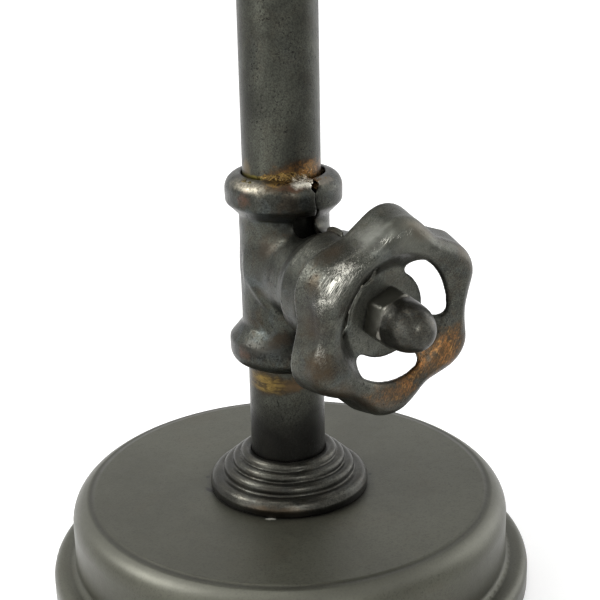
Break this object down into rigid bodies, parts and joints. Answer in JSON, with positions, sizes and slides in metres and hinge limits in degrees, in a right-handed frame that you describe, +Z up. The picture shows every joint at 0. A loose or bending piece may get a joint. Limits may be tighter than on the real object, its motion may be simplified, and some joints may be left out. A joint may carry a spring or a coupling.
{
  "type": "industrial pipe table lamp",
  "caption": "Table lamp with a weighted round base, pipe stem with a stamped tee, handwheel rotary switch, lampholder with bulb, and a drum shade on a harp.",
  "frame": {"origin": "centre of the underside of the base, on the pipe's axis", "axes": "+Z up along the pipe; the handwheel and the tee's branch point to -Y; the cord inlet is at +Y"},
  "size_m": [0.301, 0.301, 0.6052],
  "materials": {
    "pipe_steel": "weathered gunmetal, dark speckles",
    "tee_steel": "heat-tinted stamped steel",
    "braze": "brazed bead",
    "wheel_steel": "worn blackened steel with rust bloom",
    "nut_steel": "oiled black steel",
    "base_paint": "matt warm grey paint",
    "collar_steel": "glossy dark steel",
    "zinc_steel": "zinc plated",
    "ballast_iron": "rough casting",
    "felt": "black felt",
    "grommet_rubber": "moulded",
    "socket_brass": "antique brass",
    "contact_brass": "bare brass",
    "liner_paper": "fibre liner",
    "core_plastic": "phenolic",
    "switch_plastic": "phenolic",
    "bulb_glass": "frosted",
    "bulb_metal": "screw cap",
    "harp_wire": "satin black wire",
    "shade_linen": "plain woven linen on a stiff backing",
    "shade_tape": "linen edge tape",
    "finial_brass": "antique brass",
    "lead_plastic": "insulated lead"
  },
  "bodies": {
    "lamp": {"felt_pad": "felt", "bottom_plate": "zinc_steel", "base_shell": "base_paint", "base_weight": "ballast_iron", "base_washer": "zinc_steel", "base_lock_nut": "zinc_steel", "base_nipple": "zinc_steel", "cord_grommet": "grommet_rubber", "stepped_collar": "collar_steel", "stem_foot_plug": "zinc_steel", "stem_pipe": "pipe_steel", "tee_left_half": "tee_steel", "tee_right_half": "tee_steel", "braze_bead": "braze", "switch_housing": "switch_plastic", "switch_rear_cover": "switch_plastic", "switch_contacts": "contact_brass", "branch_end_plate": "nut_steel", "switch_ring_nut": "nut_steel", "stem_cap": "pipe_steel", "top_nipple": "zinc_steel", "harp_saddle": "harp_wire", "saddle_check_nut": "zinc_steel", "socket_cap": "socket_brass", "socket_shell": "socket_brass", "socket_liner": "liner_paper", "socket_core": "core_plastic", "screw_shell": "contact_brass", "centre_contact": "contact_brass", "bulb_contact": "bulb_metal", "bulb_cap": "bulb_metal", "bulb_glass": "bulb_glass", "harp": "harp_wire", "harp_sleeves": "harp_wire", "harp_stud": "harp_wire", "shade_spider": "harp_wire", "shade_panel": "shade_linen", "shade_bottom_ring": "harp_wire", "shade_top_binding": "shade_tape", "shade_bottom_binding": "shade_tape", "finial": "finial_brass", "lower_lead": "lead_plastic", "upper_lead": "lead_plastic"},
    "handwheel_group": {"switch_rotor": "switch_plastic", "valve_spindle": "nut_steel", "hub_jam_nut": "nut_steel", "hub_washer": "nut_steel", "handwheel": "wheel_steel", "acorn_nut": "nut_steel"}
  },
  "joints": [
    {"name": "switch_turn", "type": "hinge", "parent": "lamp", "child": "handwheel_group", "pos_m": [0, 0, 0.11505], "axis": [0, -0.9979, -0.0654], "continuous": true}
  ]
}
